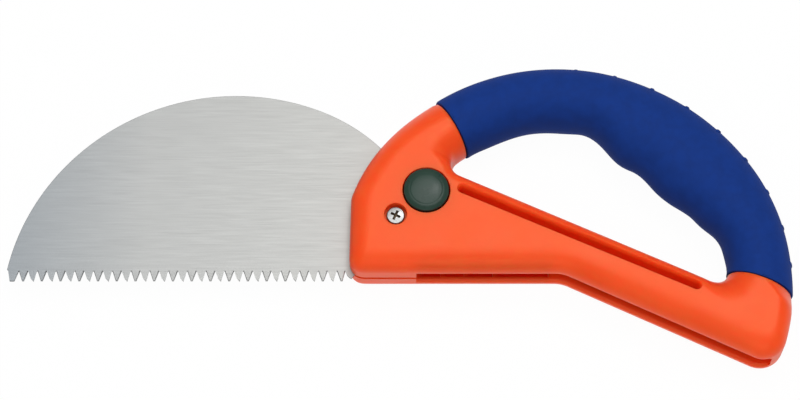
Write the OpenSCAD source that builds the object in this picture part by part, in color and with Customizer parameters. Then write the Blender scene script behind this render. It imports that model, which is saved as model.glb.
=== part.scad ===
// Folding saw with a half-moon blade and a closed D handle.
// Sizes are in millimetres. The saw lies on its side: the pivot stands on the
// origin, X runs from the blade to the tail, Y away from the teeth, Z up from the rest face.

/* [Handle] */
// Thickness across both shells
handle_t = 27; // [26:0.5:29]
// Radius of the round outer edge
arc_r = 93.9; // [93.4:0.1:94.4]
// Radius of the finger opening below the grip
hole_r = 69.2; // [68.8:0.1:69.8]
// How far the finger swell comes into the opening
swell = 9.6; // [7:0.1:10]
// Height of the finger ripples on the swell
ripple = 0.9; // [0.4:0.1:1]
// Rounding of the outer edges of the shells
edge_r = 7.5; // [6.5:0.1:8]
// Rounding along the upper edge of the beam
rail_r = 4.5; // [4:0.1:5]
// Plan radius of the nose corners
corner_r = 8; // [8:0.1:9]
// Plan radius of the tail's lower corner
tail_round = 9; // [8:0.1:10]
// Gap left between the two shells
parting_gap = 0.1; // [0.06:0.02:0.2]
// Width of the groove pressed into each side of the beam
groove_w = 3.2; // [2.6:0.1:3.6]
// Depth of that groove
groove_depth = 5; // [3:0.1:5.6]

/* [Grip] */
// Thickness of the soft grip
grip_t = 2.6; // [2:0.1:3]
// How far the grip stands above the shells
grip_proud = 0.6; // [0.4:0.1:0.8]
// Number of small cross ribs on the grip
rib_n = 9; // [7:1:9]
// Height of a cross rib
rib_h = 0.6; // [0.5:0.1:0.9]

/* [Blade] */
// Radius of the half-moon back
blade_r = 91.1; // [90.8:0.1:91.4]
// Thickness of the blade
blade_t = 1.2; // [1:0.1:1.3]
// Distance from one tooth to the next
tooth_pitch = 3.72; // [3.4:0.02:4.2]
// Depth of the teeth
tooth_depth = 4.2; // [3.4:0.1:4.4]
// How far the teeth are set to each side
tooth_set = 0.3; // [0.2:0.05:0.35]
// Radius of the round tang about the pivot
tang_r = 12.3; // [11.8:0.1:12.4]
// Free space on each side of the blade
blade_play = 0.3; // [0.25:0.05:0.4]
// Width of the wide part of the blade slot
slot_w = 8.6; // [7.6:0.2:9]

/* [Pivot] */
// Diameter of the pivot screw
pivot_d = 4; // [3.6:0.1:4.2]
// Diameter of the pivot screw head
pivot_head_d = 7.2; // [7:0.1:7.6]
// Depth of the head below the face
pivot_sink = 1.2; // [0.8:0.1:1.6]
// Outer diameter of the bush that the blade turns on
bush_d = 7; // [6.6:0.1:7.2]
// Radial running clearance of the blade on the bush
bush_fit = 0.05; // [0.03:0.01:0.08]
// Outer diameter of the two pivot washers
washer_d = 14; // [13:0.1:14.2]
// Thickness of the pivot washers
washer_t = 0.8; // [0.6:0.1:1]

/* [Lock] */
// Distance of the lock button from the pivot
lock_r = 15.8; // [15.6:0.1:16]
// Diameter of the button
button_d = 18.2; // [17.8:0.1:18.6]
// Gap around the button
button_gap = 0.4; // [0.3:0.05:0.5]
// How far the button can be pressed
press = 3; // [2.6:0.1:3]
// Diameter of the plunger stem
stem_d = 6; // [5.6:0.1:6]
// Diameter of the plunger flange
flange_d = 14; // [13.6:0.1:14.2]
// Radial sliding clearance of the stem and the flange
stem_fit = 0.1; // [0.08:0.01:0.1]
// Wire diameter of the lock spring
wire_d = 0.9; // [0.8:0.05:0.9]
// Number of turns of the lock spring
spring_turns = 3.5; // [3:0.5:3.5]

/* [Case screws] */
// Diameter of the case screws
case_d = 3; // [2.8:0.1:3.2]
// Diameter of the case screw heads
case_head_d = 5.6; // [5.2:0.1:5.8]

/* [Hidden] */
$fn = 96;

orange = "#f2692e";
blue = "#1d3a82";
steel = "#b9bcbc";
zinc = "#d5d6d4";
white = "#e8e6df";
brass = "#b8923f";
dark = "#42514b";

half_t = handle_t / 2;
trim = 0.1;
flat_rim = 0.6;
steps = 5;

// Centre of the round outer edge, and where the grip begins and ends on it
nose_x = -18;
hub = [nose_x + arc_r - 11.4, -29.3];
grip_a0 = 121.2;
grip_a1 = -1.2;
belly_y = -22.4;
bend_x = 66;
bend_r = 12;
beam_dir = -24.2;
beam_top = 26.4;
low_dir = -25;
hole_left_r = 5.6;
hole_right_r = 7.4;
hole_shrink = 0.6;
tail_in = 2.9;
brow_in = 3;
brow_full = 0.6;
crown = 1.5;
nose_lean = 1.4;
corner_sharp = 1;
beam_wide = 1.2;
nose_wide = 0.93;

function dir(a) = [cos(a), sin(a)];
function mix(a, b, t) = a + (b - a) * t;
function ramp(t) = let (k = min(max(t, 0), 1)) k * k * (3 - 2 * k);
function unit(v) = v / norm(v);

// Normal of the beam's upper edge and of its lower edge
n_top = dir(90 + beam_dir);
n_low = dir(90 + low_dir);
low_off = n_low * [bend_x, belly_y];

// Round corners of the finger opening
left_r = hole_r;
right_r = hole_r - hole_shrink;
left_a = 90 + beam_dir + acos((beam_top + hole_left_r - n_top * hub) / (left_r - hole_left_r));
right_a = 90 + beam_dir - acos((beam_top + hole_right_r - n_top * hub) / (right_r - hole_right_r));
left_c = hub + (left_r - hole_left_r) * dir(left_a);
right_c = hub + (right_r - hole_right_r) * dir(right_a);
foot_a = beam_dir - 90;
cut_a = -19;

// Round corners of the outer edge
tail_r = arc_r - tail_in;
brow_r = arc_r - brow_in;
tail_a = 90 + low_dir - acos((low_off + tail_round - n_low * hub) / (tail_r - tail_round));
tail_c = hub + (tail_r - tail_round) * dir(tail_a);
nose_a = 180 - nose_lean;
n_nose = dir(nose_a);
nose_c = [nose_x + corner_r / cos(nose_lean), belly_y + corner_r];
brow_a = nose_a - acos(n_nose * (nose_c - hub) / (brow_r - corner_r));
brow_c = hub + (brow_r - corner_r) * dir(brow_a);
bend_c = [bend_x - bend_r * tan(-low_dir / 2), belly_y - bend_r];

// The grip rises a little over its crown and falls in toward the tail
function lift(a) = let (t = min(max((grip_a0 - a) / 115, 0), 1)) crown * sin(180 * pow(t, 0.75));
function grip_arc(a) = arc_r + lift(a) - tail_in * ramp((34 - a) / 62);

// Inner radius of the grip, drawn in where the fingers close
function finger_wave(a) = cos(360 * (a - 98) / 28) * ramp((a - 80) / 8) * ramp((grip_a0 - a) / 8);
function grip_in(a) = let (close = ramp((82 - a) / 21) * ramp((a - 16.4) / 24.7))
  hole_r + lift(a) - hole_shrink * ramp((40 - a) / 30) + 0.4 * ripple * finger_wave(a)
  - close * (swell - ripple * cos(360 * (a - 58.6) / 24.7));

// Edge stations, clockwise from the upper end of the grip: the outer edge ...
grip_n = 36;
hook_n = 3;
grip_out = [for (k = [0:grip_n + hook_n])
  let (a = mix(grip_a0, grip_a1, k / (grip_n + hook_n))) hub + grip_arc(a) * dir(a)];
function brow_reach(t) = arc_r - brow_in * (1 - t) + brow_full * sin(180 * t);
rest_out = concat(
  [for (k = [0:3]) hub + mix(grip_arc(grip_a1), tail_r, k / 3) * dir(mix(grip_a1, tail_a, k / 3))],
  [for (k = [1:6]) tail_c + tail_round * dir(mix(tail_a, low_dir - 90, k / 6))],
  [for (k = [1:4]) mix(tail_c - tail_round * n_low, bend_c + bend_r * n_low, k / 4)],
  [for (k = [1:3]) bend_c + bend_r * dir(mix(90 + low_dir, 90, k / 3))],
  [for (k = [1:4]) mix([bend_c[0], belly_y], [20, belly_y], k / 4)],
  [for (k = [1:3]) mix([20, belly_y], [nose_c[0], belly_y], k / 3)],
  [for (k = [1:5]) nose_c + corner_r * dir(mix(270, nose_a, k / 5))],
  [for (k = [1:2]) mix(nose_c, brow_c, k / 2) + corner_r * n_nose],
  [for (k = [1:3]) brow_c + corner_r * dir(mix(nose_a, brow_a, k / 3))],
  [for (k = [1:8]) hub + brow_reach(k / 8) * dir(mix(brow_a, grip_a0, k / 8))]
);

// ... and the edge of the finger opening
line_0 = right_c - hole_right_r * n_top;
line_1 = left_c - hole_left_r * n_top;
grip_hole = concat(
  [for (k = [0:grip_n]) let (a = mix(grip_a0, right_a, k / grip_n)) hub + grip_in(a) * dir(a)],
  [for (k = [1:hook_n]) right_c + hole_right_r * dir(mix(right_a, cut_a, k / hook_n))]
);
rest_hole = concat(
  [for (k = [0:9]) right_c + hole_right_r * dir(mix(cut_a, foot_a, k / 9))],
  [for (k = [1:4]) mix(line_0, line_1, 0.16 * k)],
  [for (k = [1:3]) mix(line_0, line_1, 0.64 + 0.03 * k)],
  [for (k = [1:4]) mix(line_0, line_1, 0.73 + 0.0675 * k)],
  [for (k = [1:3]) left_c + hole_left_r * dir(mix(foot_a + 360, 222, k / 3))],
  [for (k = [1:5]) left_c + hole_left_r * dir(mix(222, 190, k / 5))],
  [for (k = [1:2]) left_c + hole_left_r * dir(mix(190, 175, k / 2))],
  [for (k = [1:3]) left_c + hole_left_r * dir(mix(175, 160, k / 3))],
  [for (k = [1:5]) left_c + hole_left_r * dir(mix(160, left_a, k / 5))],
  [for (k = [1:3]) hub + hole_r * dir(mix(left_a, grip_a0, k / 3))]
);

// Rounding of the shells at each station: outer width and depth, inner width and depth
function tube_w(o, i) = norm(o - i) / 2 - flat_rim / 2;
function blend(o, i, outer, inner, wide = 1) = let (w = tube_w(o, i))
  [mix(w, edge_r * wide, outer), mix(half_t, edge_r, outer),
   mix(w, rail_r, inner), mix(half_t, rail_r, inner)];
rest_n = len(rest_out);
rest_round = [for (k = [0:rest_n - 1]) let (
    outer = ramp(k / 5) * ramp((rest_n - 1 - k) / 8),
    inner = ramp(k / 10) * ramp((rest_n - 1 - k) / 14),
    wide = mix(beam_wide, nose_wide, ramp((k - 18) / 8))
  ) blend(rest_out[k], rest_hole[k], outer, inner, wide)];
grip_round = [for (k = [0:grip_n + hook_n]) blend(grip_out[k], grip_hole[k], 0, 0)];

all_out = concat(grip_out, rest_out);
all_hole = concat(grip_hole, rest_hole);

// Direction into the material at each station: square to the edge, leaning to the other edge near the grip
function turn(v) = [v[1], -v[0]];
function across(pts, k, s) = s * turn(unit(pts[min(k + 1, len(pts) - 1)] - pts[max(k - 1, 0)]));
function lean(pts, other, k, s, share) = unit(mix(across(pts, k, s), unit(other[k] - pts[k]), share));

// The lower nose corner reaches out a little more than its own radius
nose_k = 23;
function corner_out(k) = corner_sharp * pow(sin(36 * min(max(k - nose_k, 0), 5)), 2);

// One section of the handle from the outer edge over the side to the finger opening
function section(o, i, no, ni, rd, inset, base, out = 0) = let (
    w = [rd[0] - inset + out / 2, rd[2] - inset],
    d = [rd[1] - max(inset, 0), rd[3] - max(inset, 0)],
    top = half_t - max(inset, 0) + trim,
    po = o + no * (inset - out),
    pi = i + ni * inset
  ) concat(
    [[po[0], po[1], base]],
    [for (k = [0:steps]) let (a = 90 * k / steps, p = po + no * w[0] * (1 - cos(a)))
      [p[0], p[1], top - d[0] * (1 - sin(a))]],
    [for (k = [steps:-1:0]) let (a = 90 * k / steps, p = pi + ni * w[1] * (1 - cos(a)))
      [p[0], p[1], top - d[1] * (1 - sin(a))]],
    [[pi[0], pi[1], base]]
  );
ring_n = 2 * steps + 4;

function grip_section(k, inset, base) = section(grip_out[k], grip_hole[k],
  lean(grip_out, grip_hole, k, 1, 1), lean(grip_hole, grip_out, k, -1, 1), grip_round[k], inset, base);
function rest_lean(k) = 1 - ramp(k / 5) * ramp((rest_n - 1 - k) / 6);
function rest_section(k, base) = section(rest_out[k], rest_hole[k],
  lean(rest_out, rest_hole, k, 1, rest_lean(k)), lean(rest_hole, rest_out, k, -1, rest_lean(k)),
  rest_round[k], 0, base, corner_out(k));

function flat(lists) = [for (l = lists) each l];
function quad(a, b, c, d) = [[a, b, c], [a, c, d]];

// The closed loop of one shell, its grip part drawn in by the thickness of the grip
module shell_blank() {
  core = grip_t - grip_proud;
  rings = concat(
    [for (k = [0:grip_n + hook_n]) grip_section(k, core, -1)],
    [for (k = [0:rest_n - 1]) rest_section(k, -1)]
  );
  n = len(rings);
  faces = flat([for (s = [0:n - 1], j = [0:ring_n - 1])
    let (t = (s + 1) % n, m = (j + 1) % ring_n)
    quad(s * ring_n + j, t * ring_n + j, t * ring_n + m, s * ring_n + m)]);
  polyhedron(points = flat(rings), faces = faces);
}

// The sleeve of one grip half round that drawn-in part
module grip_blank() {
  core = grip_t - grip_proud - skin;
  rings = [for (k = [0:grip_n + hook_n]) concat(
    grip_section(k, -grip_proud, -1),
    [for (j = [ring_n - 1:-1:0]) grip_section(k, core, -1)[j]]
  )];
  n = len(rings);
  m = 2 * ring_n;
  sides = flat([for (s = [0:n - 2], j = [0:m - 1]) let (p = (j + 1) % m)
    quad(s * m + j, (s + 1) * m + j, (s + 1) * m + p, s * m + p)]);
  first = flat([for (j = [0:ring_n - 2]) quad(j, j + 1, m - 2 - j, m - 1 - j)]);
  last = flat([for (j = [0:ring_n - 2]) let (b = (n - 1) * m)
    quad(b + j, b + m - 1 - j, b + m - 2 - j, b + j + 1)]);
  polyhedron(points = flat(rings), faces = concat(sides, first, last));
}

skin = 0.02;
part_z = parting_gap / 2;
fold = 153;

// Layer between two heights above the middle plane
reach = 2.5 * arc_r;

module layer(z0, z1) {
  translate([-reach, -reach, z0])
    cube([2 * reach, 2 * reach, z1 - z0]);
}

// Blade and tang
blade_c = [-64.8, -35.3];
shoulder_a = 67.5;
shoulder_r = 0.82 * blade_r;
shoulder_c = blade_c + (blade_r - shoulder_r) * dir(shoulder_a);
tip_x = -154.2;
gullet_y = -19.4;
heel = [-17.6, -22.6];
stop_a = 53;
bush_r = bush_d / 2;
blade_half = blade_t / 2;
slit_half = blade_half + blade_play;
face_gap = 0.05;
washer_z = blade_half + face_gap;
seat_z = washer_z + washer_t;

module tooth_profile() {
  polygon([[-0.02, 0.6], [-0.02, 0], [tooth_pitch * 0.42, -tooth_depth], [tooth_pitch * 0.58, -tooth_depth],
    [tooth_pitch + 0.02, 0], [tooth_pitch + 0.02, 0.6]]);
}

tooth_x0 = tip_x + 4.4;
tooth_n = round((heel[0] - 2 - tooth_x0) / tooth_pitch);
tip_y = gullet_y - tooth_depth;

module blade_profile() {
  intersection() {
    translate(blade_c)
      circle(r = blade_r, $fn = 240);
    union() {
      translate(shoulder_c)
        circle(r = shoulder_r, $fn = 240);
      translate(blade_c + [blade_r * cos(shoulder_a) - 2 * blade_r, -blade_r])
        square(2 * blade_r);
    }
    polygon([[tip_x - 4, gullet_y], [heel[0] - 2.4, gullet_y], [heel[0] - 1.6, heel[1] + 1.3],
      [heel[0] - 0.8, heel[1] + 0.5], heel, [0, 0], 60 * dir(stop_a), [40, 90], [tip_x - 4, 90]]);
  }
  polygon([[tip_x + 0.2, gullet_y + 0.4], [tip_x + 1, tip_y], [tooth_x0 - 1.6, tip_y], [tooth_x0, gullet_y],
    [tooth_x0, gullet_y + 0.4]]);
  circle(r = tang_r);
}

module saw_blade() {
  color(steel)
    translate([0, 0, half_t])
      difference() {
        union() {
          translate([0, 0, -blade_half])
            linear_extrude(blade_t)
              blade_profile();
          for (k = [0:tooth_n - 1])
            translate([tooth_x0 + k * tooth_pitch, gullet_y, -blade_half + tooth_set * (k % 2 * 2 - 1)])
              linear_extrude(blade_t)
                tooth_profile();
        }
        cylinder(r = bush_r + bush_fit, h = 4 * blade_t, center = true);
      }
}

// Spaces that the blade passes through inside the handle
n_fold = dir(fold - 90);
fold_off = tooth_depth - gullet_y + 1.2;
function fold_y(x) = (fold_off - n_fold[0] * x) / n_fold[1];
slot_x0 = 8.2;
slot_end_gap = 0.6;
blade_end = [blade_c[0] - sqrt(pow(blade_r, 2) - pow(gullet_y - blade_c[1], 2)), gullet_y];
swing_r = norm(blade_end) + slot_end_gap;
lock_clear = 27;
slit_x1 = 60;
slit_over = 0.6;

module slit_profile() {
  intersection() {
    union() {
      translate(blade_c)
        circle(r = blade_r + 1, $fn = 240);
      polygon([[0, -110], [0, fold_y(0) + slit_over],
        [slit_x1, fold_y(slit_x1) + slit_over], [slit_x1, -110]]);
    }
    translate([nose_x - 30, -110])
      square([slit_x1 - nose_x + 30, 220]);
  }
}

// The far end of the slot follows the swing of the blade's end
module slot_profile() {
  difference() {
    intersection() {
      circle(r = swing_r, $fn = 240);
      polygon([[slot_x0, -110], [slot_x0, fold_y(slot_x0)], [swing_r, fold_y(swing_r)], [swing_r, -110]]);
    }
    intersection() {
      circle(r = lock_clear);
      translate([0, belly_y + 14])
        square(80);
    }
  }
}

// Ribbed hollows of the beam and of the belly
module hollows() {
  translate([bend_x, belly_y, 0])
    rotate(low_dir)
      for (k = [0:3])
        translate([3 + 19.5 * k, 3.2, slot_w / 2 - 1])
          cube([17, 9, half_t - 4 - slot_w / 2 + 1]);
  for (k = [0:len(belly_ribs) - 2])
    translate([belly_ribs[k] + belly_rib_t / 2, belly_y + 2.1, slot_w / 2 - 1])
      cube([belly_ribs[k + 1] - belly_ribs[k] - belly_rib_t, 11, half_t - 4 - slot_w / 2 + 1]);
}

// Cross ribs in the mouth of the slot
belly_ribs = [slot_x0 + 0.6, 18.5, 27.9, 39.3, 61.5];
belly_rib_t = 1.2;

// Case screws: neck, crown, palm and wrist of the grip, and tail
function grip_mid(a) = hub + (grip_arc(a) + grip_in(a)) / 2 * dir(a);
neck_at = hub + (arc_r - 10.5) * dir(129.2);
tail_at = mix(tail_c, right_c, 0.36);
case_at = [neck_at, grip_mid(98), grip_mid(58), grip_mid(22), tail_at];
head_gap = 0.3;
case_r = case_d / 2;
case_head_r = case_head_d / 2;
case_sink = 6;

// The grip is a hollow tube with a boss for each screw
tube_r = (arc_r + hole_r) / 2;
tube_half = (arc_r - hole_r) / 4;
boss_r = case_r + 3.1;

module tube_hollow() {
  difference() {
    translate([hub[0], hub[1], 0])
      rotate([0, 0, 16])
        rotate_extrude(angle = 94)
          translate([tube_r, 0])
            polygon([[-tube_half, -2], [tube_half, -2], [tube_half, 3], [tube_half - 2.5, 7],
              [2.5 - tube_half, 7], [-tube_half, 3]]);
    for (p = case_at)
      translate([p[0], p[1], -3])
        cylinder(r = boss_r, h = handle_t);
  }
}

// Groove in the side of the beam
groove_a = left_c + [-1.95, -12];
groove_b = right_c + [-6.4, -11.2];

module groove() {
  len = norm(groove_b - groove_a);
  translate([groove_a[0], groove_a[1], half_t - groove_depth])
    rotate(atan2(groove_b[1] - groove_a[1], groove_b[0] - groove_a[0]))
      linear_extrude(groove_depth + 2) {
        circle(d = groove_w);
        translate([0, -groove_w / 2])
          square([len, groove_w]);
        translate([len, 0])
          circle(d = groove_w);
      }
}

// What both shells share, drawn for the upper one with its parting face at the middle plane
module shell_half() {
  difference() {
    intersection() {
      shell_blank();
      layer(part_z, half_t);
    }
    translate([0, 0, -2])
      linear_extrude(2 + slit_half)
        slit_profile();
    translate([0, 0, -2])
      linear_extrude(2 + slot_w / 2)
        slot_profile();
    hollows();
    tube_hollow();
    groove();
    translate([0, 0, -2])
      cylinder(r = washer_d / 2 + 0.2, h = 2 + seat_z);
  }
}

lock_p = lock_r * dir(39.4);
button_r = button_d / 2;
stem_r = stem_d / 2;
flange_r = flange_d / 2;
well_z = 3;
button_z = well_z + press + 1.2;
stem_top = button_z + 3.4;
flange_t = 2;
flange_z = -washer_z - flange_t;
spring_floor = -10;
pivot_r = pivot_d / 2;
head_r = pivot_head_d / 2;
head_h = 2.2;
head_z = half_t - pivot_sink - head_h;

module front_shell() {
  color(orange)
    translate([0, 0, half_t])
      difference() {
        shell_half();
        cylinder(r = pivot_r + 0.1, h = 60, center = true);
        translate([0, 0, head_z])
          cylinder(r = head_r + 0.8, h = 20);
        translate([lock_p[0], lock_p[1], well_z])
          cylinder(r = button_r + button_gap, h = 30);
        translate([lock_p[0], lock_p[1], -1])
          cylinder(r = stem_r + stem_fit, h = 20);
        for (p = case_at)
          translate([p[0], p[1], -1])
            cylinder(r = case_r + skin, h = 10);
      }
}

module rear_shell() {
  color(orange)
    translate([0, 0, half_t])
      difference() {
        mirror([0, 0, 1])
          shell_half();
        translate([0, 0, -seat_z - insert_h])
          cylinder(r = insert_r + skin, h = 20);
        translate([lock_p[0], lock_p[1], flange_z - press - 0.5])
          cylinder(r = flange_r + 0.3, h = 20);
        translate([lock_p[0], lock_p[1], spring_floor])
          cylinder(r = spring_r + wire_d / 2 + 0.4, h = 20);
        for (p = case_at)
          translate([p[0], p[1], 0]) {
            cylinder(r = case_r + 0.1, h = 60, center = true);
            translate([0, 0, -handle_t - case_bed])
              cylinder(r = case_head_r + head_gap, h = handle_t);
          }
      }
}

case_bed = half_t - case_sink;
insert_r = 3.5;
insert_h = 8;
spring_r = 4.1;

// Small cross ribs along the crest of the grip
rib_a0 = 85.8;
rib_step = 9.79;
rib_bulge = half_t;
rib_row = half_t / 8;
rib_root = 1.3;
function rib_edge(a, z) = grip_arc(a) + grip_proud
  - rib_bulge * (1 - sqrt(1 - pow((part_z + z) / half_t, 2)));

module grip_ribs() {
  for (k = [0:rib_n - 1]) {
    a = rib_a0 - rib_step * k;
    translate([hub[0], hub[1], 0])
      rotate(a - 0.7)
        rotate_extrude(angle = 1.4)
          polygon(concat(
            [for (j = [0:4]) [rib_edge(a, rib_row * j) + rib_h * (1 - 0.045 * j * j), part_z + rib_row * j]],
            [for (j = [4:-1:0]) [rib_edge(a, rib_row * j) - rib_root, part_z + rib_row * j]]
          ));
  }
}

module grip_half() {
  intersection() {
    grip_blank();
    layer(part_z, half_t);
  }
  grip_ribs();
}

module front_grip() {
  color(blue)
    translate([0, 0, half_t])
      grip_half();
}

module rear_grip() {
  color(blue)
    translate([0, 0, half_t])
      difference() {
        mirror([0, 0, 1])
          grip_half();
        for (k = [1:3])
          translate([case_at[k][0], case_at[k][1], -2 * handle_t])
            cylinder(r = case_head_r + head_gap, h = 2 * handle_t - case_bed / 2);
      }
}

// Pivot
module pivot_screw() {
  color(zinc)
    translate([0, 0, half_t])
      difference() {
        union() {
          translate([0, 0, -seat_z - insert_h + 0.6])
            cylinder(r = pivot_r, h = seat_z + insert_h - 0.6 + head_z + 0.01);
          translate([0, 0, head_z])
            rotate_extrude()
              polygon([[0, 0], [head_r, 0], [head_r, 1], [head_r * 0.9, 1.6],
                [head_r * 0.6, 2.05], [0, head_h]]);
        }
        for (a = [0, 90])
          translate([0, 0, head_z + 1.1])
            rotate(a - 25)
              translate([-2.1, -0.45, 0])
                cube([4.2, 0.9, 4]);
      }
}

module pivot_bush() {
  color(steel)
    translate([0, 0, half_t])
      difference() {
        cylinder(r = bush_r, h = 2 * seat_z - 0.02, center = true);
        cylinder(r = pivot_r + skin, h = 20, center = true);
      }
}

module pivot_washer() {
  difference() {
    cylinder(r = washer_d / 2, h = washer_t - 0.01);
    translate([0, 0, -1])
      cylinder(r = bush_r + skin, h = 5);
  }
}

module front_washer() {
  color(white)
    translate([0, 0, half_t + washer_z])
      pivot_washer();
}

module rear_washer() {
  color(white)
    translate([0, 0, half_t - seat_z + 0.01])
      pivot_washer();
}

module pivot_insert() {
  color(brass)
    translate([0, 0, half_t - seat_z - insert_h])
      difference() {
        cylinder(r = insert_r, h = insert_h - 0.02);
        translate([0, 0, -1])
          cylinder(r = pivot_r + skin, h = 20);
      }
}

// Lock
module lock_button() {
  rise = 0.6;
  dome = 1.4;
  top_z = half_t + rise;
  color(dark)
    translate([lock_p[0], lock_p[1], half_t])
      rotate_extrude()
        polygon([[0, stem_top], [stem_r + skin, stem_top], [stem_r + skin, button_z], [button_r, button_z],
          [button_r, top_z - 0.6], [button_r - 0.6, top_z], [button_r * 0.76, top_z + 0.5 * dome],
          [button_r * 0.72, top_z + 0.5 * dome + 0.25], [button_r * 0.4, top_z + 0.9 * dome + 0.2],
          [0, top_z + dome + 0.2]]);
}

module lock_plunger() {
  color(zinc)
    translate([lock_p[0], lock_p[1], half_t]) {
      translate([0, 0, flange_z])
        cylinder(r = flange_r, h = flange_t);
      translate([0, 0, flange_z])
        cylinder(r = stem_r, h = stem_top - flange_z - skin);
    }
}

// Coil spring under the plunger: rings swept along one helix
coil_z0 = spring_floor + wire_d / 2;
coil_z1 = flange_z - wire_d / 2;
coil_sides = 6;

module lock_spring() {
  n = ceil(spring_turns * 10);
  rings = [for (k = [0:n]) let (a = 360 * spring_turns * k / n, z = mix(coil_z0, coil_z1, k / n))
    [for (j = [0:coil_sides - 1]) let (b = 360 * j / coil_sides + 30, r = spring_r + wire_d / 2 * cos(b))
      [r * cos(a), r * sin(a), z + wire_d / 2 * sin(b)]]];
  sides = flat([for (s = [0:n - 1], j = [0:coil_sides - 1]) let (p = (j + 1) % coil_sides)
    quad(s * coil_sides + j, (s + 1) * coil_sides + j, (s + 1) * coil_sides + p, s * coil_sides + p)]);
  ends = flat([for (j = [1:coil_sides - 2])
    [[0, j, j + 1], [n * coil_sides, n * coil_sides + j + 1, n * coil_sides + j]]]);
  color(zinc)
    translate([lock_p[0], lock_p[1], half_t])
      polyhedron(points = flat(rings), faces = concat(sides, ends));
}

// Case screw driven from the rear, head down in its counterbore
module case_screw(p) {
  color(zinc)
    translate([p[0], p[1], half_t - case_bed])
      difference() {
        union() {
          cylinder(r = case_r, h = case_bed + 8);
          translate([0, 0, -2])
            cylinder(r = case_head_r, h = 2);
        }
        for (a = [0, 90])
          translate([0, 0, -3])
            rotate(a + 35)
              translate([-1.6, -0.4, 0])
                cube([3.2, 0.8, 2]);
      }
}

module case_screw_neck() {
  case_screw(case_at[0]);
}

module case_screw_crown() {
  case_screw(case_at[1]);
}

module case_screw_palm() {
  case_screw(case_at[2]);
}

module case_screw_wrist() {
  case_screw(case_at[3]);
}

module case_screw_tail() {
  case_screw(case_at[4]);
}

front_shell();
rear_shell();
front_grip();
rear_grip();
saw_blade();
pivot_screw();
pivot_bush();
front_washer();
rear_washer();
pivot_insert();
lock_button();
lock_plunger();
lock_spring();
case_screw_neck();
case_screw_crown();
case_screw_palm();
case_screw_wrist();
case_screw_tail();
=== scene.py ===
from math import acos, atan2, cos, degrees, pi, radians, sin, sqrt, tan

import bpy
from mathutils import Matrix, Vector


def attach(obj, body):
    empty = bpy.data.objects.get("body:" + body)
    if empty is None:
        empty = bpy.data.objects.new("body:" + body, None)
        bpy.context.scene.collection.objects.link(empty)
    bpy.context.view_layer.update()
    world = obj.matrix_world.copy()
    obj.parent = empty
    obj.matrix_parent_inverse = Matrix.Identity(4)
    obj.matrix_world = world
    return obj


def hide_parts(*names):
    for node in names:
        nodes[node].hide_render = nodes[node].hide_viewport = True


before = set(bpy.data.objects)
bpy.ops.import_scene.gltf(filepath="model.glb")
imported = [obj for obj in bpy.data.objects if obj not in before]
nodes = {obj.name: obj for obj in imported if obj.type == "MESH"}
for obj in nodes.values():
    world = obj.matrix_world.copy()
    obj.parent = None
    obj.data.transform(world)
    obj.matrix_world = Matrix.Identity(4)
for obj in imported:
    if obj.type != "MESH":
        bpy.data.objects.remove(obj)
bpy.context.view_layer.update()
mm = 0.001

# camera
view = {"target": (1.741, 10.8, 13.5), "distance": 1103.7, "tilt": 20.53, "lens": 123.75, "sensor": 36.0,
        "near": 0.05, "far": 20.0}


def addCamera():
    lens = bpy.data.cameras.new("photoLens")
    lens.sensor_width = view["sensor"]
    lens.lens = view["lens"]
    lens.clip_start, lens.clip_end = view["near"], view["far"]
    camera = bpy.data.objects.new("photoCamera", lens)
    bpy.context.scene.collection.objects.link(camera)
    tilt = radians(view["tilt"])
    back = Vector((0, -sin(tilt), cos(tilt)))
    camera.location = (Vector(view["target"]) + back * view["distance"]) * mm
    camera.rotation_euler = (tilt, 0, 0)
    bpy.context.scene.camera = camera


addCamera()
print("camera set")


# small helpers for modelling by hand; lengths are given in mm
def clearSelection():
    if bpy.context.object and bpy.context.object.mode != "OBJECT":
        bpy.ops.object.mode_set(mode="OBJECT")
    bpy.ops.object.select_all(action="DESELECT")


def pick(obj):
    clearSelection()
    obj.select_set(True)
    bpy.context.view_layer.objects.active = obj


def editAll(obj):
    # edit mode with everything selected
    pick(obj)
    bpy.ops.object.mode_set(mode="EDIT")
    bpy.ops.mesh.select_all(action="SELECT")


def faceOutward(obj):
    editAll(obj)
    bpy.ops.mesh.normals_make_consistent(inside=False)
    bpy.ops.object.mode_set(mode="OBJECT")
    return obj


def selectBy(obj, mode, test):
    # edit mode with the edges or faces that pass the test selected
    pick(obj)
    bpy.ops.object.mode_set(mode="EDIT")
    bpy.ops.mesh.select_mode(type=mode)
    bpy.ops.mesh.select_all(action="DESELECT")
    bpy.ops.object.mode_set(mode="OBJECT")
    mesh = obj.data
    if mode == "FACE":
        for face in mesh.polygons:
            face.select = test(face.center, face.normal)
    else:
        for edge in mesh.edges:
            edge.select = test(*(mesh.vertices[k].co for k in edge.vertices))
    bpy.ops.object.mode_set(mode="EDIT")


def named(name):
    obj = bpy.context.object
    obj.name = obj.data.name = name
    return obj


def settle(obj):
    pick(obj)
    bpy.ops.object.transform_apply(location=True, rotation=True, scale=True)
    return obj


def useModifier(obj, kind, **values):
    pick(obj)
    mod = obj.modifiers.new(kind.lower(), kind)
    for key, value in values.items():
        setattr(mod, key, value)
    bpy.ops.object.modifier_apply(modifier=mod.name)


def cutAway(obj, cutter, operation="DIFFERENCE"):
    useModifier(obj, "BOOLEAN", operation=operation, object=cutter, solver="MANIFOLD")
    bpy.data.objects.remove(cutter, do_unlink=True)


def tidyMesh(obj, angle, weld=0.005):
    # merge doubles, face outward and shade smooth below the angle
    editAll(obj)
    bpy.ops.mesh.remove_doubles(threshold=weld * mm)
    bpy.ops.mesh.dissolve_degenerate(threshold=weld * mm)
    faceOutward(obj)
    bpy.ops.object.shade_smooth_by_angle(angle=radians(angle))
    useModifier(obj, "WEIGHTED_NORMAL", keep_sharp=True, weight=60)
    return obj


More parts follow.
